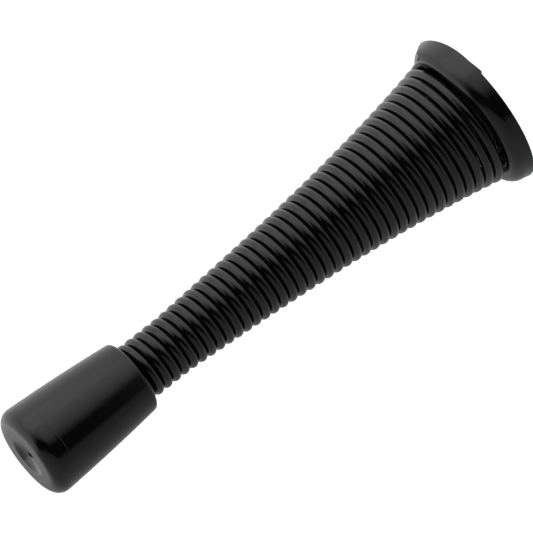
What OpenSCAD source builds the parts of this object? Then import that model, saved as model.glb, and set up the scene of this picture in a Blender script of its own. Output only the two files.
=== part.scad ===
// Spring door stop: a flared, tightly wound wire spring with a rubber tip on its narrow end
// and a pressed base plate on its wide end.
// The stop is drawn standing on the wall plane, along +Z, and is then laid over so that it
// sticks out of the wall along -Y. The origin is the centre of the screw hole, in the wall plane.
// Every angle is measured about the stop's own axis.

/* [Overall] */
// Length from the wall to the front of the rubber tip
stop_len = 86; // [84:0.5:92]

/* [Spring] */
// Diameter of the coated wire
wire_d = 1.6; // [1.4:0.05:1.6]
// Outer diameter of the narrow, straight part of the coil
coil_tip_d = 9.16; // [8.8:0.02:9.2]
// Outer diameter of the last turn at the base
coil_base_d = 21.2; // [20.8:0.1:21.2]
// Half turns of wire above the base plate
half_turns = 87; // [70:1:88]
// Gap between neighbouring turns
turn_gap = 0.02; // [0.02:0.01:0.04]
// Length of the flared part of the coil
flare_len = 54.5; // [45:0.5:58]
// Share of the flare that is a plain cone, where the rest curves outward at the base
cone_share = 0.58; // [0.5:0.02:1]

/* [Rubber tip] */
// Length of the tip
tip_len = 19.8; // [18:0.2:24]
// Diameter at the front of the tip
tip_front_d = 14.5; // [13:0.1:15]
// Diameter where the spring enters the tip
tip_back_d = 11.7; // [11.3:0.1:12.2]
// How far the side bulges past a straight cone
tip_bulge = 0.12; // [0:0.02:0.3]
// Radius of the rounded nose
nose_r = 1.9; // [0.5:0.1:2.5]
// Radius of the rounded back edge
back_edge_r = 0.7; // [0.2:0.1:0.8]
// Depth of the bore that grips the spring
tip_bore_len = 11; // [9:0.5:13]
// Diameter of the dimple in the nose
dimple_d = 5.8; // [4:0.1:7]
// Depth of the dimple
dimple_depth = 0.6; // [0.4:0.1:1.5]
// Diameter of the vent from the dimple to the bore
vent_d = 1; // [0.6:0.1:1.4]

/* [Base plate] */
// Diameter of the plate at its rim
base_d = 25; // [24.8:0.1:26]
// Thickness of the pressed sheet
sheet = 0.6; // [0.5:0.05:0.7]
// Height of the rim above the wall
rim_z = 0.6; // [0.3:0.1:0.8]
// Outer diameter of the cup in the middle
cup_d = 16.9; // [16:0.1:17]
// Outer radius of the rounded shoulder
shoulder_r = 2; // [1.2:0.1:2.2]
// How far the skirt flares out between the shoulder and the rim
skirt_flare = 0.25; // [0:0.05:0.4]
// Diameter of the screw hole
screw_d = 4.4; // [3.6:0.1:5]
// Angle of the raised edge, where the wire goes in under the flange
slit_angle = 139; // [0:1:359]
// Angle that the tongue under the raised edge covers
tongue_span = 49; // [20:1:60]

/* [Hidden] */

wire_r = wire_d / 2;
fit_gap = 0.02;          // between the wire and the sheet that it lies on
under_gap = 0.35;        // between the wire and the flange above it
round_fn = 96;
wire_fn = 24;

// The spring. Turn 0 starts where the wire comes up through the slit.
pitch = wire_d + turn_gap;
dip_span = 22;           // angle from where the wire leaves the flange to the raised edge
dip_end = 4;             // angle short of the raised edge at which the wire is fully under it
tail_end = 42;           // angle at which the wire ends, one turn lower
seat_z = 4.1;            // height of the wire's centre at the start of turn 0
tip_r = (coil_tip_d - wire_d) / 2;
base_r = (coil_base_d - wire_d) / 2;
core_len = 0.3;          // a short core joins each half turn to the next across a hairline seam
core_inset = 0.05;       // how far the core lies inside the wire's surface
seam = 0.04;
bend_extra = 0.02;       // the balls at the two bends of the dip stand this proud
coil_start = slit_angle + dip_span;

// The tip, from its back face to its nose.
tip_back_z = stop_len - tip_len;
tip_bore_d = coil_tip_d + 0.13;
curve_steps = 8;

// The base plate.
skirt_top_r = base_d / 2 - skirt_flare;
cup_r = cup_d / 2;
split_z = 1.2;           // the helical flange is drawn above this height, plain rings below it
sector = 7.5;            // the helical flange is stepped this finely
dip_window_r = 10.8;     // the flange is cut away out to here where the wire dips through it
dip_window = 26;
clear_drop = 0.42;       // the flange lies this far clear of the wire, away from its two edges
clear_from = 30;         // angle at which it begins to fall clear
clear_to = 308;          // angle at which it is back up under the wire
raised_drop = 0.12;      // the flange is pressed down this far at its raised edge
lobe_span = 60;
lobe_shoulder_r = 1.1;   // the shoulder tightens to this at the raised edge
slit_gap = 1;            // angle between the raised edge and the other edge of the slit
tongue_gap = 0.12;
joggle = 7;              // angle over which the tongue steps inward from the skirt
cut = 0.01;              // overlap of joined solids, and overshoot of cuts

// Radius of the wire's centre line at height z.
function flare(z) = max(0, 1 - (z - seat_z) / flare_len);
function coil_r(z) = tip_r + (base_r - tip_r) * (cone_share * flare(z) + (1 - cone_share) * pow(flare(z), 3));
function slope(z) = (coil_r(z) - coil_r(z + 0.1)) / 0.1;
// Turns that grow in radius nest, so each rises a little less than a straight coil's.
function rise(z) = pitch / 2 * cos(atan(slope(z)));
turn_z = [for (k = 0, z = seat_z; k <= half_turns; z = z + rise(z), k = k + 1) z];

// Height of the wire's centre on the flange, by the angle a from the start of turn 0.
function ramp(a) = (1 - cos(a)) / 2;
function seat_wire_z(a) = a < 180
    ? turn_z[0] + (turn_z[1] - turn_z[0]) * ramp(a)
    : turn_z[1] + (turn_z[2] - turn_z[1]) * ramp(a - 180);
function ease(x) = let (u = min(1, max(0, x))) u * u * (3 - 2 * u);
// Share of the way into the lobe that ends at the raised edge.
function lobe(a) = ease((a - 360 + dip_span + lobe_span) / lobe_span);
function flange_z(a) = seat_wire_z(a) - wire_r - fit_gap - raised_drop * lobe(a)
    - clear_drop * ease((a - clear_from) / 100) * ease((clear_to - a) / 50);
function under_z(a) = flange_z(a) - sheet - under_gap - wire_r;

function polar(r, a, z) = [r * cos(a), r * sin(a), z];
function degrees_of(len, r) = len / r * 180 / PI;

// One planar arc of wire between two angles, tilted to climb and shifted to let it widen.
module wire_arc(from, to, r_from, r_to, z_from, z_to) {
    span = to - from;
    r = (r_from + r_to) / 2;
    trim = degrees_of(seam / 2, r);
    tilt = atan((z_to - z_from) / (2 * r * sin(span / 2)));
    translate([0, 0, (z_from + z_to) / 2])
        rotate([0, 0, (from + to) / 2])
            translate([0, (r_to - r_from) / 2, 0])
                rotate([tilt, 0, 0])
                    rotate_extrude(angle = span - 2 * trim, start = trim - span / 2, $fn = round_fn)
                        translate([r, 0])
                            circle(wire_r, $fn = wire_fn);
}

module wire_core(r, angle, z) {
    rotate([0, 0, angle])
        translate([r, 0, z])
            rotate([90, 0, 0])
                cylinder(r = wire_r - core_inset, h = core_len, center = true, $fn = wire_fn);
}

// The straight stretch in which the wire dips through the slit.
module wire_dip(from, to, r, z_from, z_to) {
    half = (to - from) / 2;
    run = 2 * r * sin(half);
    climb = atan((z_to - z_from) / run);
    rotate([0, 0, from + half])
        translate([r * cos(half), 0, (z_from + z_to) / 2])
            rotate([climb - 90, 0, 0])
                cylinder(r = wire_r, h = run / cos(climb), center = true, $fn = wire_fn);
    for (end = [polar(r, from, z_from), polar(r, to, z_to)])
        translate(end)
            sphere(r = wire_r + bend_extra, $fn = wire_fn);
}

// The stretch of wire that the flange holds, from its end to the start of turn 0.
module wire_tail() {
    r = coil_r(seat_z);
    enter = 360 - dip_span + dip_end;
    middle = 180;
    last = tail_end - dip_span;
    wire_arc(coil_start + last, coil_start + middle, r, r, under_z(last), under_z(middle));
    wire_core(r, coil_start + middle, under_z(middle));
    wire_arc(coil_start + middle, coil_start + enter, r, r, under_z(middle), under_z(enter));
    wire_dip(coil_start + enter - 360, coil_start, r, under_z(enter), seat_z);
}

module coil_spring() {
    color([0.05, 0.05, 0.05]) {
        for (k = [0:half_turns - 1])
            wire_arc(coil_start + 180 * k, coil_start + 180 * (k + 1),
                coil_r(turn_z[k]), coil_r(turn_z[k + 1]), turn_z[k], turn_z[k + 1]);
        for (k = [1:half_turns - 1])
            wire_core(coil_r(turn_z[k]), coil_start + 180 * k, turn_z[k]);
        wire_tail();
    }
}

// Points of a quarter round between two directions.
function round_points(r, z, radius, from, to) =
    [for (i = [0:curve_steps]) let (a = from + (to - from) * i / curve_steps)
        [r + radius * cos(a), z + radius * sin(a)]];
// Radius of the tip's side, by its share u of the way from the back to the front.
function tip_side(u) = (tip_back_d + (tip_front_d - tip_back_d) * u) / 2 + 4 * tip_bulge * u * (1 - u);

module rubber_tip() {
    side = [for (i = [1:curve_steps - 1]) let (u = i / curve_steps)
        [tip_side(u), tip_back_z + back_edge_r + (tip_len - back_edge_r - nose_r) * u]];
    outline = concat(
        [[0, tip_back_z]],
        round_points(tip_back_d / 2 - back_edge_r, tip_back_z + back_edge_r, back_edge_r, -90, 0),
        side,
        round_points(tip_front_d / 2 - nose_r, stop_len - nose_r, nose_r, 0, 90),
        [[0, stop_len]]);
    dimple_r = (pow(dimple_d / 2, 2) + pow(dimple_depth, 2)) / (2 * dimple_depth);
    color([0.08, 0.08, 0.08])
        difference() {
            rotate_extrude($fn = round_fn)
                polygon(outline);
            translate([0, 0, tip_back_z - cut])
                cylinder(d = tip_bore_d, h = tip_bore_len + cut, $fn = round_fn);
            translate([0, 0, stop_len + dimple_r - dimple_depth])
                sphere(r = dimple_r, $fn = round_fn);
            translate([0, 0, tip_back_z])
                cylinder(d = vent_d, h = tip_len, $fn = wire_fn);
        }
}

// Outline of the sheet in one sector: the top of the cup's wall, the flange, the shoulder and the skirt.
// inset 0 gives the outside of the sheet, and inset 1 the hollow under it.
module flange_outline(top, round_r, inset) {
    t = inset * sheet;
    flat_r = skirt_top_r - round_r;
    shoulder_z = top - round_r;
    inner_r = inset == 1 ? cup_r : cup_r - sheet;
    translate([inner_r, split_z - inset])
        square([flat_r - inner_r, top - t - split_z + inset]);
    translate([flat_r, shoulder_z])
        circle(r = round_r - t, $fn = round_fn);
    polygon([
        [flat_r - cut, split_z - inset],
        [skirt_r(split_z) - t, split_z - inset],
        [skirt_r(split_z) - t, split_z],
        [skirt_top_r - t, shoulder_z],
        [flat_r - cut, shoulder_z]]);
}

// Outer radius of the skirt at height z, below the shoulder.
function skirt_r(z) = skirt_top_r + skirt_flare * (3 - z) / (3 - rim_z);

module flange_sector(a) {
    round_r = shoulder_r + (lobe_shoulder_r - shoulder_r) * lobe(a);
    rotate_extrude(angle = sector, start = a, $fn = round_fn)
        difference() {
            intersection() {
                flange_outline(flange_z(a), round_r, 0);
                translate([0, split_z])
                    square([base_d, stop_len]);
            }
            flange_outline(flange_z(a), round_r, 1);
        }
}

// Ring sector between two angles, for the tongue and for cuts.
module ring_sector(r_in, r_out, z_low, z_high, from, to) {
    rotate_extrude(angle = to - from, start = from, $fn = round_fn)
        translate([r_in, z_low])
            square([r_out - r_in, z_high - z_low]);
}

// The floor, the cup's wall and the skirt, up to where the helical flange begins.
module plain_rings() {
    rotate_extrude($fn = round_fn)
        square([cup_r, sheet]);
    ring_sector(cup_r - sheet, cup_r, 0, split_z, 0, 360);
    rotate_extrude($fn = round_fn)
        polygon([
            [skirt_r(rim_z) - sheet, rim_z],
            [skirt_r(rim_z), rim_z],
            [skirt_r(split_z), split_z],
            [skirt_r(split_z) - sheet, split_z]]);
}

// Angles here are counted from the start of turn 0, so the raised edge is at 360 - dip_span.
module base_plate() {
    edge = -dip_span;
    tongue_r = skirt_r(split_z) - sheet - tongue_gap;
    color([0.07, 0.07, 0.07])
        rotate([0, 0, coil_start])
            difference() {
                union() {
                    plain_rings();
                    for (i = [0:360 / sector - 1])
                        flange_sector(edge + sector * i);
                    ring_sector(tongue_r - sheet, tongue_r, 0, split_z, edge - tongue_span, edge + joggle);
                    ring_sector(tongue_r - sheet, tongue_r + 2 * tongue_gap, rim_z, split_z,
                        edge + slit_gap, edge + joggle);
                }
                ring_sector(cup_r, dip_window_r, split_z, stop_len / 2, edge, edge + dip_window);
                ring_sector(tongue_r + cut, base_d, -1, stop_len / 2, edge, edge + slit_gap);
                translate([0, 0, -1])
                    cylinder(d = screw_d, h = sheet + 2, $fn = round_fn);
            }
}

module on_wall() {
    rotate([90, 0, 0])
        children();
}

on_wall() base_plate();
on_wall() coil_spring();
on_wall() rubber_tip();
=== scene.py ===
import math

import bpy
import numpy as np
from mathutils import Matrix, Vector


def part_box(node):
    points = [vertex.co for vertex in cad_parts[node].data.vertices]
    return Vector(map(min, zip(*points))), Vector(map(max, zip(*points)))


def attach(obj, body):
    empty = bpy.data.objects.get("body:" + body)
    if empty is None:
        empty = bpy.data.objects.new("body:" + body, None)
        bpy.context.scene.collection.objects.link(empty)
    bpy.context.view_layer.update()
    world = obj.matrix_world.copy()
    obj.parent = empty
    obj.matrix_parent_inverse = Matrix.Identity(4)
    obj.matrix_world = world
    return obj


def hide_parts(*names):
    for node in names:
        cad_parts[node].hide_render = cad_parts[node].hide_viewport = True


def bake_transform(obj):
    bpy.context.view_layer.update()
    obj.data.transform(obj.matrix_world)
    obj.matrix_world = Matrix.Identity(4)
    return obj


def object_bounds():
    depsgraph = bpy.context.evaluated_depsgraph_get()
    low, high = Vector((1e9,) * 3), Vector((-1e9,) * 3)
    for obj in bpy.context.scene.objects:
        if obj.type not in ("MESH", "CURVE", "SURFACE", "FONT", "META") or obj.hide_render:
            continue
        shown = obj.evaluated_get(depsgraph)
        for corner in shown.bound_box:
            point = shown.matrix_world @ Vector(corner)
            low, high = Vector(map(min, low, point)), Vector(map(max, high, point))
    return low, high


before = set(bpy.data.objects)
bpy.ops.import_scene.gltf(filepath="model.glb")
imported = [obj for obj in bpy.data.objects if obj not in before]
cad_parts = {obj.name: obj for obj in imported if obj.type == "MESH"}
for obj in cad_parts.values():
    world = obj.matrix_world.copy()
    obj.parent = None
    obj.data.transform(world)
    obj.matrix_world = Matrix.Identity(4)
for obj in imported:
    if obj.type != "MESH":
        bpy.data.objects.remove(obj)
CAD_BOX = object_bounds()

# Lengths are in metres. Each piece is laid out as r, angle and z about the stop's own axis, with z
# measured out of the wall, and place() turns that into the frame, where the stop lies along -Y.
MM = 0.001

TIP_LOW, TIP_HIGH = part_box("rubber_tip")
STOP_LEN = -TIP_LOW.y
TIP_BACK_Z = -TIP_HIGH.y
TIP_FRONT_R = TIP_HIGH.x
PLATE_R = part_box("base_plate")[1].x

# The wire. Its coil narrows over FLARE_LEN: CONE_SHARE of that evenly, the rest mostly at the base.
WIRE_R = 0.785 * MM
TURN_GAP = 0.05 * MM
PITCH = 2 * WIRE_R + TURN_GAP
COIL_BASE_R = 9.8 * MM
COIL_TIP_R = 3.78 * MM
SEAT_Z = 4.1 * MM
FLARE_LEN = 54.5 * MM
CONE_SHARE = 0.58
HALF_TURNS = 87

# Angles count in degrees from where the wire lies down on the flange. It comes up through the sheet
# between DIP_FROM and DIP_TO, from a tail that starts under the flange at TAIL_START. The slit's two
# edges are in one place, a turn of the helix apart.
SLIT_ANGLE = 139
DIP_SPAN = 22
COIL_START = SLIT_ANGLE + DIP_SPAN
LOW_EDGE = -DIP_SPAN
RAISED_EDGE = 360 - DIP_SPAN
TAIL_START = -340
DIP_FROM, DIP_TO = -21, 2

# The flange climbs with the wire. It lies CLEAR_DROP lower from CLEAR_FROM to CLEAR_TO, and
# RAISED_DROP lower in the lobe, the last LOBE_SPAN degrees before its raised edge.
SHEET = 0.6 * MM
UNDER_GAP = 0.35 * MM
LOBE_SPAN = 60
CLEAR_DROP = 0.42 * MM
CLEAR_FROM, CLEAR_FALL = 30, 100
CLEAR_TO, CLEAR_CLIMB = 308, 50
RAISED_DROP = 0.12 * MM

# The wire is two pieces, split at SPLIT_Z.
SPLIT_Z = 32 * MM
SPRING_BEND_ZONE = (6.2 * MM, SPLIT_Z)
TIP_BEND_ZONE = (SPLIT_Z, 64 * MM)


def smooth(x):
    """An even rise from 0 to 1 that starts and ends level."""
    x = np.clip(x, 0, 1)
    return x * x * (3 - 2 * x)


def place(r, degrees, z):
    """Points in the frame, from arrays of radius, angle about the stop's axis, and height off the wall."""
    a = np.radians(degrees)
    return np.stack(np.broadcast_arrays(r * np.cos(a), -z, r * np.sin(a)), axis=-1)


def arc(cr, cz, radius, from_deg, to_deg, steps):
    """Points (r, z) along an arc of a profile."""
    a = np.radians(np.linspace(from_deg, to_deg, steps + 1))
    return list(zip(cr + radius * np.cos(a), cz + radius * np.sin(a)))


def line(start, end, steps):
    """Points (r, z) along a straight stretch of a profile, without its two ends."""
    return [tuple(np.array(start) + (np.array(end) - np.array(start)) * i / steps) for i in range(1, steps)]


def make_mesh(name, verts, faces, smooth_shading=True):
    mesh = bpy.data.meshes.new(name)
    mesh.from_pydata([tuple(v) for v in verts], [], faces)
    mesh.validate()
    mesh.update()
    if smooth_shading:
        mesh.shade_smooth()
    obj = bpy.data.objects.new(name, mesh)
    bpy.context.scene.collection.objects.link(obj)
    return obj


def apply_modifiers(obj):
    depsgraph = bpy.context.evaluated_depsgraph_get()
    mesh = bpy.data.meshes.new_from_object(obj.evaluated_get(depsgraph))
    obj.modifiers.clear()
    obj.data = mesh


# ---- Materials ----

def new_material(name, color, roughness, specular=0.5):
    mat = bpy.data.materials.new(name)
    mat.use_nodes = True
    shader = mat.node_tree.nodes["Principled BSDF"]
    shader.inputs["Base Color"].default_value = (*color, 1)
    shader.inputs["Roughness"].default_value = roughness
    shader.inputs["Specular IOR Level"].default_value = specular
    return mat, mat.node_tree.nodes, mat.node_tree.links, shader


def noise(nodes, links, coords, scale, detail=3.0, roughness=0.5):
    node = nodes.new("ShaderNodeTexNoise")
    node.inputs["Scale"].default_value = scale
    node.inputs["Detail"].default_value = detail
    node.inputs["Roughness"].default_value = roughness
    links.new(coords.outputs["Object"], node.inputs["Vector"])
    return node.outputs["Fac"]


def spread(nodes, links, source, low, high, from_low=0.3, from_high=0.7):
    """The source, stretched from one range to another and held at its ends."""
    node = nodes.new("ShaderNodeMapRange")
    node.inputs["From Min"].default_value = from_low
    node.inputs["From Max"].default_value = from_high
    node.inputs["To Min"].default_value = low
    node.inputs["To Max"].default_value = high
    links.new(source, node.inputs["Value"])
    return node.outputs["Result"]


def bump(nodes, links, source, distance, strength, under=None):
    node = nodes.new("ShaderNodeBump")
    node.inputs["Distance"].default_value = distance
    node.inputs["Strength"].default_value = strength
    links.new(source, node.inputs["Height"])
    if under is not None:
        links.new(under, node.inputs["Normal"])
    return node.outputs["Normal"]


def tint(nodes, links, shader, source, dark, light):
    node = nodes.new("ShaderNodeMix")
    node.data_type = "RGBA"
    node.inputs["A"].default_value = (*dark, 1)
    node.inputs["B"].default_value = (*light, 1)
    links.new(source, node.inputs["Factor"])
    links.new(node.outputs["Result"], shader.inputs["Base Color"])


def wire_material():
    """Black coating on spring wire: glossy, with a faint orange peel and duller patches."""
    mat, nodes, links, shader = new_material("wire_coating", (0.002, 0.002, 0.0022), 0.12)
    coords = nodes.new("ShaderNodeTexCoord")
    patches = noise(nodes, links, coords, 260)
    grain = noise(nodes, links, coords, 1900, detail=2)
    tint(nodes, links, shader, patches, (0.0014, 0.0014, 0.0016), (0.0028, 0.0028, 0.0031))
    links.new(spread(nodes, links, patches, 0.05, 0.09), shader.inputs["Roughness"])
    links.new(bump(nodes, links, grain, 0.02 * MM, 0.25), shader.inputs["Normal"])
    return mat


def plate_material():
    """Satin black baked coating on pressed steel, with orange peel and faint draw marks."""
    mat, nodes, links, shader = new_material("plate_coating", (0.0025, 0.0025, 0.0027), 0.22)
    coords = nodes.new("ShaderNodeTexCoord")
    patches = noise(nodes, links, coords, 320)
    grain = noise(nodes, links, coords, 1300, detail=3)
    tint(nodes, links, shader, patches, (0.0018, 0.0018, 0.002), (0.0034, 0.0034, 0.0037))
    links.new(spread(nodes, links, patches, 0.10, 0.16), shader.inputs["Roughness"])
    wide = bump(nodes, links, patches, 0.06 * MM, 0.25)
    links.new(bump(nodes, links, grain, 0.02 * MM, 0.2, under=wide), shader.inputs["Normal"])
    return mat


def rubber_material():
    """Smooth satin moulded rubber, with a fine grain and a few duller, dustier patches."""
    mat, nodes, links, shader = new_material("tip_rubber", (0.0016, 0.0016, 0.0018), 0.22)
    coords = nodes.new("ShaderNodeTexCoord")
    patches = noise(nodes, links, coords, 180, detail=4, roughness=0.6)
    grain = noise(nodes, links, coords, 2600, detail=2)
    tint(nodes, links, shader, patches, (0.001, 0.001, 0.0012), (0.0024, 0.0024, 0.0026))
    links.new(spread(nodes, links, patches, 0.13, 0.19), shader.inputs["Roughness"])
    links.new(bump(nodes, links, grain, 0.015 * MM, 0.3), shader.inputs["Normal"])
    return mat


# ---- The spring ----

def coil_radius(z):
    flare = np.clip(1 - (z - SEAT_Z) / FLARE_LEN, 0, None)
    return COIL_TIP_R + (COIL_BASE_R - COIL_TIP_R) * (CONE_SHARE * flare + (1 - CONE_SHARE) * flare**3)


STEP_DEG = 5
COIL_STEPS = HALF_TURNS * 180 // STEP_DEG
SLOPE_STEP = 0.1 * MM


def climb_of_coil():
    """Height of the wire's centre at every step of angle, from where it lies down on the flange."""
    heights = [SEAT_Z]
    for _ in range(COIL_STEPS):
        z = heights[-1]
        slope = (coil_radius(z) - coil_radius(z + SLOPE_STEP)) / SLOPE_STEP
        heights.append(z + PITCH * STEP_DEG / 360 * math.cos(math.atan(slope)))
    return np.array(heights)


CLIMB = climb_of_coil()


def wire_z(a):
    """Height of the wire's centre at an angle, on the flange and above."""
    steps = np.arange(len(CLIMB)) * STEP_DEG
    above = np.interp(a, steps, CLIMB)
    return np.where(np.asarray(a) < 0, SEAT_Z + PITCH * np.asarray(a) / 360, above)


def lobe(a):
    """Share of the way into the lobe that ends at the flange's raised edge."""
    return smooth((a - RAISED_EDGE + LOBE_SPAN) / LOBE_SPAN)


def flange_z(a):
    """Height of the flange, which touches the wire near the slit and lies clear of it elsewhere."""
    clear = smooth((a - CLEAR_FROM) / CLEAR_FALL) * smooth((CLEAR_TO - a) / CLEAR_CLIMB)
    return wire_z(a) - WIRE_R - TURN_GAP - CLEAR_DROP * clear - RAISED_DROP * lobe(a)


def under_z(a):
    """Height of the wire's centre one turn lower, under the flange."""
    return flange_z(a + 360) - SHEET - UNDER_GAP - WIRE_R


def wire_line():
    """Angle, radius and height along the wire, from its end under the flange to its end in the tip."""
    a = np.arange(TAIL_START, COIL_STEPS * STEP_DEG + 1, STEP_DEG, dtype=float)
    on_top = smooth((a - DIP_FROM) / (DIP_TO - DIP_FROM))
    z = under_z(np.minimum(a, 0)) * (1 - on_top) + wire_z(a) * on_top
    return a, coil_radius(np.maximum(z, SEAT_Z)), z


WIRE_SIDES = 24
WIRE_CHAMFER = 0.12 * MM


def sweep_wire(name, a, r, z, free_start, free_end):
    """A tube of wire along the line. A free end is cut square with a small chamfer."""
    centre = place(r, a + COIL_START, z)
    tangent = np.gradient(centre, axis=0)
    tangent /= np.linalg.norm(tangent, axis=1)[:, None]
    outward = place(1.0, a + COIL_START, 0.0 * z)
    outward -= (outward * tangent).sum(1)[:, None] * tangent
    outward /= np.linalg.norm(outward, axis=1)[:, None]
    side = np.cross(tangent, outward)
    turn = np.linspace(0, 2 * math.pi, WIRE_SIDES, endpoint=False)
    ring = np.cos(turn)[None, :, None] * outward[:, None] + np.sin(turn)[None, :, None] * side[:, None]
    rings = [centre[i] + WIRE_R * ring[i] for i in range(len(a))]
    end_r = WIRE_R - WIRE_CHAMFER
    if free_start:
        rings.insert(0, centre[0] - WIRE_CHAMFER * tangent[0] + end_r * ring[0])
    if free_end:
        rings.append(centre[-1] + WIRE_CHAMFER * tangent[-1] + end_r * ring[-1])
    faces = []
    for i in range(len(rings) - 1):
        here, there = i * WIRE_SIDES, (i + 1) * WIRE_SIDES
        for k in range(WIRE_SIDES):
            n = (k + 1) % WIRE_SIDES
            faces.append((here + k, here + n, there + n, there + k))
    last = (len(rings) - 1) * WIRE_SIDES
    faces.append(tuple(range(WIRE_SIDES - 1, -1, -1)))
    faces.append(tuple(last + k for k in range(WIRE_SIDES)))
    obj = make_mesh(name, np.concatenate(rings), faces)
    sharpen_ends(obj.data)
    return obj


def sharpen_ends(mesh):
    """Flat, sharp-edged caps, so that the two pieces of wire shade alike where they meet."""
    for poly in mesh.polygons:
        if len(poly.vertices) == WIRE_SIDES:
            poly.use_smooth = False
            for corner in poly.loop_indices:
                mesh.edges[mesh.loops[corner].edge_index].use_edge_sharp = True


def build_spring(material):
    a, r, z = wire_line()
    split = int(np.argmax(z > SPLIT_Z))
    halves = (
        ("spring_wide_half", slice(0, split + 1), True, False, ("base", "spring"), SPRING_BEND_ZONE),
        ("spring_narrow_half", slice(split, len(a)), False, True, ("spring", "tip"), TIP_BEND_ZONE),
    )
    for name, part, free_start, free_end, bodies, zone in halves:
        obj = sweep_wire(name, a[part], r[part], z[part], free_start, free_end)
        obj.data.materials.append(material)
        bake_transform(obj)
    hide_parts("coil_spring")


# ---- The rubber tip ----

TIP_SEGMENTS = 160
BORE_R = 4.645 * MM
BORE_LEN = 11 * MM
BORE_MOUTH_R = 0.25 * MM
BORE_END_R = 0.3 * MM
BACK_R = 5.85 * MM
BACK_EDGE_R = 0.7 * MM
NOSE_R = 1.9 * MM
SIDE_BULGE = 0.12 * MM
DIMPLE_R = 3.0 * MM
DIMPLE_DEPTH = 0.6 * MM
DIMPLE_EDGE_R = 0.6 * MM
DIMPLE_EDGE_SHARE = 0.86
VENT_R = 0.5 * MM
VENT_BEVEL_WIDTH = 0.12 * MM
VENT_BEVEL_DEPTH = 0.14 * MM
VENT_BEVEL_MID = 0.04 * MM
RIDGE_Z = STOP_LEN - 3.7 * MM
RIDGE_HALF = 0.16 * MM
RIDGE_PROUD = 0.022 * MM


def tip_side():
    """The side, from the back edge to the nose, with the low ridge that the mould's parting line leaves."""
    low, high = TIP_BACK_Z + BACK_EDGE_R, STOP_LEN - NOSE_R
    ridge = RIDGE_Z + RIDGE_HALF * np.linspace(-2, 2, 9)
    heights = np.sort(np.concatenate([np.linspace(low, high, 26)[1:-1], ridge]))
    points = []
    for z in heights:
        u = (z - low) / (high - low)
        r = BACK_R + (TIP_FRONT_R - BACK_R) * u + 4 * SIDE_BULGE * u * (1 - u)
        points.append((r + RIDGE_PROUD * math.exp(-(((z - RIDGE_Z) / RIDGE_HALF) ** 2)), z))
    return points


def tip_profile():
    """Closed outline (r, z): from the bore's mouth round the outside, and back down the vent and bore."""
    mouth_z = TIP_BACK_Z + BORE_MOUTH_R
    bore_end = TIP_BACK_Z + BORE_LEN
    face = STOP_LEN
    bowl_r = (DIMPLE_R**2 + DIMPLE_DEPTH**2) / (2 * DIMPLE_DEPTH)
    bowl_z = face + bowl_r - DIMPLE_DEPTH
    lip = math.degrees(math.asin(DIMPLE_R / bowl_r))
    lip_r = DIMPLE_R + DIMPLE_EDGE_R * math.tan(math.radians(lip / 2))
    edge = lip * DIMPLE_EDGE_SHARE
    vent = math.degrees(math.asin((VENT_R + VENT_BEVEL_WIDTH) / bowl_r))
    bowl = arc(0, bowl_z, bowl_r, -90 + edge, -90 + vent, 14)
    bottom = bowl[-1][1]
    vent_front = bottom - VENT_BEVEL_DEPTH
    points = arc(BORE_R + BORE_MOUTH_R, mouth_z, BORE_MOUTH_R, 180, 270, 4)
    points += arc(BACK_R - BACK_EDGE_R, TIP_BACK_Z + BACK_EDGE_R, BACK_EDGE_R, -90, 0, 8)
    points += tip_side()
    points += arc(TIP_FRONT_R - NOSE_R, face - NOSE_R, NOSE_R, 0, 90, 14)
    points += line((TIP_FRONT_R - NOSE_R, face), (lip_r, face), 4)
    points += arc(lip_r, face - DIMPLE_EDGE_R, DIMPLE_EDGE_R, 90, 90 + edge, 6)
    points += bowl
    points += [(VENT_R + VENT_BEVEL_MID, bottom - VENT_BEVEL_MID), (VENT_R, vent_front)]
    points += line((VENT_R, vent_front), (VENT_R, bore_end), 5)
    points += [(VENT_R, bore_end)]
    points += line((VENT_R, bore_end), (BORE_R, bore_end), 4)
    points += arc(BORE_R - BORE_END_R, bore_end - BORE_END_R, BORE_END_R, 90, 0, 3)
    points += line((BORE_R, bore_end - BORE_END_R), (BORE_R, mouth_z), 8)
    return points


def lathe(name, profile, segments):
    """A closed profile turned all the way round the stop's axis."""
    r, z = np.array(profile).T
    angles = np.linspace(0, 360, segments, endpoint=False)
    verts = place(r[None, :], angles[:, None], z[None, :] + 0 * angles[:, None]).reshape(-1, 3)
    n = len(profile)
    faces = []
    for i in range(segments):
        j = (i + 1) % segments
        for k in range(n):
            m = (k + 1) % n
            faces.append((i * n + k, j * n + k, j * n + m, i * n + m))
    return make_mesh(name, verts, faces)


def build_tip(material):
    obj = lathe("rubber_bumper", tip_profile(), TIP_SEGMENTS)
    obj.data.materials.append(material)
    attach(obj, "tip")
    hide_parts("rubber_tip")


# ---- The base plate ----

HOLE_R = 2.2 * MM
CUP_INNER_R = 7.85 * MM
CUP_FILLET = 1.0 * MM
LIP_R = 0.9 * MM
SHOULDER_R = 2.0 * MM
LOBE_SHOULDER_R = 1.1 * MM
LOBE_BULGE = 0.2 * MM
SKIRT_TOP_R = PLATE_R - 0.25 * MM
EDGE_ROUND = 0.14 * MM
BOX_GAP = 0.02 * MM

# The rim is RIM_Z off the wall, and RIM_RISE further beside the slit, which it climbs to and falls
# from over these angles. The tongue's own end comes down to LOWEST_Z.
RIM_Z = 0.6 * MM
RIM_RISE = 0.9 * MM
LOWEST_Z = 0.12 * MM
RIM_CLIMB_FROM, RIM_CLIMB = 305, 60
RIM_FALL_FROM, RIM_FALL = 2, 48

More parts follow.
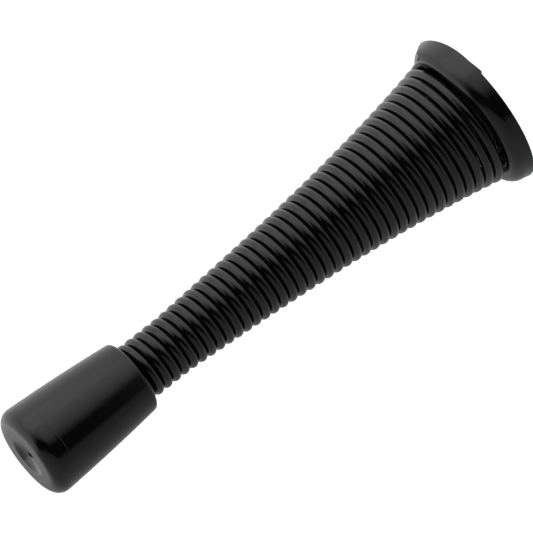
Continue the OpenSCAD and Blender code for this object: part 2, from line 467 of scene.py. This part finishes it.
# The tongue is the skirt's low end, stepped in by JOGGLE to pass under the raised edge. The slit
# slants round by SLANT_DEG on its way down the skirt. The wire goes in through a window in the
# flange, from the slit to WINDOW_END.
COL_DEG = 2.0
SLIT_HALF_DEG = 0.6
SLANT_DEG = 22
SLANT_TOP_Z = 4.5 * MM
SLANT_LEN = 3.2 * MM
WINDOW_END = 4.0
WINDOW_R = 10.8 * MM
TONGUE_DEG = 49
TONGUE_COLUMNS = 24
TONGUE_END = LOW_EDGE - TONGUE_DEG
JOGGLE = 0.74 * MM
JOGGLE_DEG = 9
JOGGLE_PAST_DEG = 2


def slant(z):
    """How many degrees the slit's edge has moved round at height z, as it runs down the skirt."""
    return SLANT_DEG * min(1.0, max(0.0, (SLANT_TOP_Z - z) / SLANT_LEN))


def rim_height(a):
    """The rim lies near the wall, and climbs with the sheet on either side of the slit."""
    if a > 180:
        return RIM_Z + RIM_RISE * float(smooth((a - RIM_CLIMB_FROM) / RIM_CLIMB))
    if a > RIM_FALL_FROM:
        return RIM_Z + RIM_RISE * float(1 - smooth((a - RIM_FALL_FROM) / RIM_FALL))
    climb = RIM_Z + RIM_RISE - LOWEST_Z
    return LOWEST_Z + climb * (a - TONGUE_END) / (RIM_FALL_FROM - TONGUE_END)


def plate_rows(a):
    """One section of the sheet's upper side, from the hole to the rim, and the rows where it changes.

    Up to "shared" the sheet is whole all the way round, and above it the slit parts its two ends. The
    window lies between "lip" and "shoulder", and the tongue has the rows from "tongue" on.
    """
    top = float(flange_z(a))
    into = float(lobe(a))
    round_r = SHOULDER_R + (LOBE_SHOULDER_R - SHOULDER_R) * into
    skirt_r = SKIRT_TOP_R + LOBE_BULGE * into
    rows = [(HOLE_R, SHEET)] + line((HOLE_R, SHEET), (CUP_INNER_R - CUP_FILLET, SHEET), 5)
    rows += arc(CUP_INNER_R - CUP_FILLET, SHEET + CUP_FILLET, CUP_FILLET, -90, 0, 6)
    marks = {"shared": len(rows) - 1}
    rows += line((CUP_INNER_R, SHEET + CUP_FILLET), (CUP_INNER_R, top - LIP_R), 4)
    rows += arc(CUP_INNER_R + LIP_R, top - LIP_R, LIP_R, 180, 90, 6)
    marks["lip"] = len(rows) - 4
    rows += line((CUP_INNER_R + LIP_R, top), (skirt_r - round_r, top), 3)
    marks["shoulder"] = len(rows) + 2
    marks["tongue"] = len(rows) + 4
    rows += arc(skirt_r - round_r, top - round_r, round_r, 90, 0, 8)
    rim = (PLATE_R, rim_height(a + SLANT_DEG * into))
    rows += line(rows[-1], rim, 6) + [rim]
    return rows, marks


def plate_sheet():
    """The upper side of the sheet as one open surface, with its slit, window and tongue."""
    columns = [TONGUE_END + i * TONGUE_DEG / TONGUE_COLUMNS for i in range(TONGUE_COLUMNS)]
    first_main = len(columns)
    count = round((RAISED_EDGE - LOW_EDGE) / COL_DEG)
    columns += [LOW_EDGE + i * COL_DEG for i in range(count + 1)]
    last = len(columns) - 1
    middle = last - count // 2
    verts, index = [], {}
    for c, a in enumerate(columns):
        section, marks = plate_rows(a)
        for k, (r, z) in enumerate(section):
            if c < first_main and k < marks["tongue"]:
                continue
            if c == last and k <= marks["shared"]:
                index[c, k] = index[first_main, k]
                continue
            angle = a
            if c == last:
                angle -= SLIT_HALF_DEG
            elif c == first_main and marks["shared"] < k <= marks["lip"]:
                angle += SLIT_HALF_DEG
            if k >= marks["shoulder"] and c > middle:
                angle += slant(z) * float(lobe(a))
            if k >= marks["shoulder"] and c < middle:
                under = smooth((LOW_EDGE + slant(z) + JOGGLE_PAST_DEG + JOGGLE_DEG - a) / JOGGLE_DEG)
                outer = min(1.0, (r - WINDOW_R) / (SKIRT_TOP_R - WINDOW_R))
                r -= JOGGLE * float(under) * outer
            index[c, k] = len(verts)
            verts.append(place(r, angle + COIL_START, z))
    faces = []
    for c in range(last):
        in_window = first_main <= c and columns[c] < WINDOW_END
        for k in range(len(section) - 1):
            if in_window and marks["lip"] <= k < marks["shoulder"]:
                continue
            corners = [(c, k), (c + 1, k), (c + 1, k + 1), (c, k + 1)]
            if all(corner in index for corner in corners):
                face = [index[corner] for corner in corners]
                if len(set(face)) == 4:
                    faces.append(tuple(reversed(face)))
    return verts, faces


def build_plate(material):
    """The sheet made solid, with its edges rolled, and held BOX_GAP inside the CAD model's outline."""
    verts, faces = plate_sheet()
    obj = make_mesh("pressed_base", verts, faces)
    thick = obj.modifiers.new("sheet", "SOLIDIFY")
    thick.thickness = SHEET
    thick.offset = -1
    thick.use_even_offset = True
    edge = obj.modifiers.new("rolled_edges", "BEVEL")
    edge.width = EDGE_ROUND
    edge.segments = 2
    edge.limit_method = "ANGLE"
    edge.angle_limit = math.radians(50)
    fine = obj.modifiers.new("smooth", "SUBSURF")
    fine.levels = fine.render_levels = 1
    apply_modifiers(obj)
    for vertex in obj.data.vertices:
        x, y, z = vertex.co
        inward = min(1.0, (PLATE_R - BOX_GAP) / math.hypot(x, z))
        vertex.co = (x * inward, min(y, -BOX_GAP), z * inward)
    obj.data.shade_smooth()
    obj.data.materials.append(material)
    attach(obj, "base")
    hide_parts("base_plate")


# ---- Camera, floor and light ----

CAMERA_AZIMUTH = 49.6
CAMERA_ELEVATION = 66.2
CAMERA_DISTANCE = 1.6
CAMERA_LENS = 748
CAMERA_AIM = (1.55 * MM, 1.95 * MM)
FLOOR_DROP = 0.22
FLOOR_HALF = 6.0


def camera_axes():
    """Directions to the right, up and back to the camera."""
    a, e = math.radians(CAMERA_AZIMUTH), math.radians(CAMERA_ELEVATION)
    right = Vector((math.cos(a), math.sin(a), 0))
    back = Vector((math.sin(a) * math.cos(e), -math.cos(a) * math.cos(e), math.sin(e)))
    return right, back.cross(right), back


def build_camera():
    right, up, back = camera_axes()
    centre = (CAD_BOX[0] + CAD_BOX[1]) / 2
    data = bpy.data.cameras.new("camera")
    data.lens = CAMERA_LENS
    data.sensor_width = 36
    data.clip_start = 0.01
    camera = bpy.data.objects.new("camera", data)
    bpy.context.scene.collection.objects.link(camera)
    camera.location = centre + right * CAMERA_AIM[0] + up * CAMERA_AIM[1] + back * CAMERA_DISTANCE
    camera.rotation_euler = back.to_track_quat("Z", "Y").to_euler()
    bpy.context.scene.camera = camera


def build_floor():
    corners = ((-1, -1), (1, -1), (1, 1), (-1, 1))
    verts = [(x * FLOOR_HALF, y * FLOOR_HALF, -FLOOR_DROP) for x, y in corners]
    floor = make_mesh("floor", verts, [(0, 1, 2, 3)], smooth_shading=False)
    mat, _, _, shader = new_material("pale_floor", (0.86, 0.86, 0.86), 0.9)
    shader.inputs["Emission Color"].default_value = (1, 1, 1, 1)
    shader.inputs["Emission Strength"].default_value = 0.6
    floor.data.materials.append(mat)
    floor.visible_glossy = False


# Brightness of the studio by angle in degrees about the stop's axis, with the camera at 0 and its
# right at +90: a broad soft box on the left, a dark slot beside the camera, and grey walls.
SURROUNDINGS = (
    (-180, 0.40), (-150, 0.95), (-108, 1.10), (-90, 1.18), (-40, 1.12), (-22, 0.84), (-9, 0.58),
    (2, 0.22), (9, 0.02), (40, 0.02), (50, 0.26), (62, 0.30), (86, 0.40), (128, 0.42), (180, 0.40),
)
SURROUNDINGS_PEAK = 1.2
# The studio is twisted about the axis, by the first of SLOT_TURNS where a ray's part along the axis is
# the first of SLOT_HEIGHTS, and by the second where it is the second. From the wall's side, past
# WALL_SIDE, it is at least WALL_SIDE_LEVEL bright.
SLOT_TURNS = (math.radians(-6), math.radians(30))
SLOT_HEIGHTS = (-0.40, 0.66)
WALL_SIDE = (-0.54, -0.42)
WALL_SIDE_LEVEL = 0.4


def math_node(nodes, links, operation, first, second):
    node = nodes.new("ShaderNodeMath")
    node.operation = operation
    links.new(first, node.inputs[0])
    links.new(second, node.inputs[1])
    return node.outputs[0]


def share_along(nodes, links, coords, direction):
    """The part of a ray's direction that lies along another, from -1 to 1."""
    node = nodes.new("ShaderNodeVectorMath")
    node.operation = "DOT_PRODUCT"
    node.inputs[1].default_value = direction
    links.new(coords.outputs["Generated"], node.inputs[0])
    return node.outputs["Value"]


def brightness_ramp(nodes, links, angle):
    """SURROUNDINGS as a colour ramp over an angle in radians."""
    ramp = nodes.new("ShaderNodeValToRGB")
    ramp.color_ramp.interpolation = "EASE"
    stops = ramp.color_ramp.elements
    while len(stops) > 1:
        stops.remove(stops[-1])
    for i, (degrees, level) in enumerate(SURROUNDINGS):
        stop = stops[0] if i == 0 else stops.new((degrees + 180) / 360)
        stop.position = (degrees + 180) / 360
        stop.color = (level / SURROUNDINGS_PEAK,) * 3 + (1,)
    links.new(spread(nodes, links, angle, 0, 1, -math.pi, math.pi), ramp.inputs["Fac"])
    return ramp.outputs["Color"]


def build_world():
    """The studio that the stop reflects, and plain white where the camera sees past the floor."""
    world = bpy.data.worlds.new("studio")
    bpy.context.scene.world = world
    world.use_nodes = True
    nodes, links = world.node_tree.nodes, world.node_tree.links
    nodes.clear()
    right, _, back = camera_axes()
    axis = Vector((0, -1, 0))
    toward = (back - axis * back.dot(axis)).normalized()
    aside = toward.cross(axis)
    aside = aside if aside.dot(right) > 0 else -aside
    coords = nodes.new("ShaderNodeTexCoord")
    parts = [share_along(nodes, links, coords, direction) for direction in (aside, toward, axis)]
    angle = math_node(nodes, links, "ARCTAN2", parts[0], parts[1])
    lean = spread(nodes, links, parts[2], *SLOT_TURNS, *SLOT_HEIGHTS)
    around = brightness_ramp(nodes, links, math_node(nodes, links, "ADD", angle, lean))
    behind = spread(nodes, links, parts[2], WALL_SIDE_LEVEL / SURROUNDINGS_PEAK, 0, *WALL_SIDE)
    lit = nodes.new("ShaderNodeBackground")
    lit.inputs["Strength"].default_value = SURROUNDINGS_PEAK
    links.new(math_node(nodes, links, "MAXIMUM", around, behind), lit.inputs["Color"])
    plain = nodes.new("ShaderNodeBackground")
    plain.inputs["Color"].default_value = (1, 1, 1, 1)
    path = nodes.new("ShaderNodeLightPath")
    mix = nodes.new("ShaderNodeMixShader")
    links.new(path.outputs["Is Camera Ray"], mix.inputs[0])
    links.new(lit.outputs[0], mix.inputs[1])
    links.new(plain.outputs[0], mix.inputs[2])
    out = nodes.new("ShaderNodeOutputWorld")
    links.new(mix.outputs[0], out.inputs["Surface"])


SOFT_BOX_SIZE = (0.9, 0.6)
SOFT_BOX_POWER = 0.5
SOFT_BOX_DISTANCE = 0.8


def build_key_light():
    """A large soft box, up and to the left of the camera."""
    right, up, back = camera_axes()
    data = bpy.data.lights.new("soft_box", "AREA")
    data.shape = "RECTANGLE"
    data.size, data.size_y = SOFT_BOX_SIZE
    data.energy = SOFT_BOX_POWER
    light = bpy.data.objects.new("soft_box", data)
    bpy.context.scene.collection.objects.link(light)
    centre = (CAD_BOX[0] + CAD_BOX[1]) / 2
    aside = (right * -0.6 + up * 0.8 + back * 0.6).normalized()
    light.location = centre + aside * SOFT_BOX_DISTANCE
    light.rotation_euler = aside.to_track_quat("Z", "Y").to_euler()
    light.visible_camera = False


build_camera()
build_floor()
build_world()
build_key_light()
build_spring(wire_material())
build_tip(rubber_material())
build_plate(plate_material())
bpy.context.scene.view_settings.view_transform = "Standard"
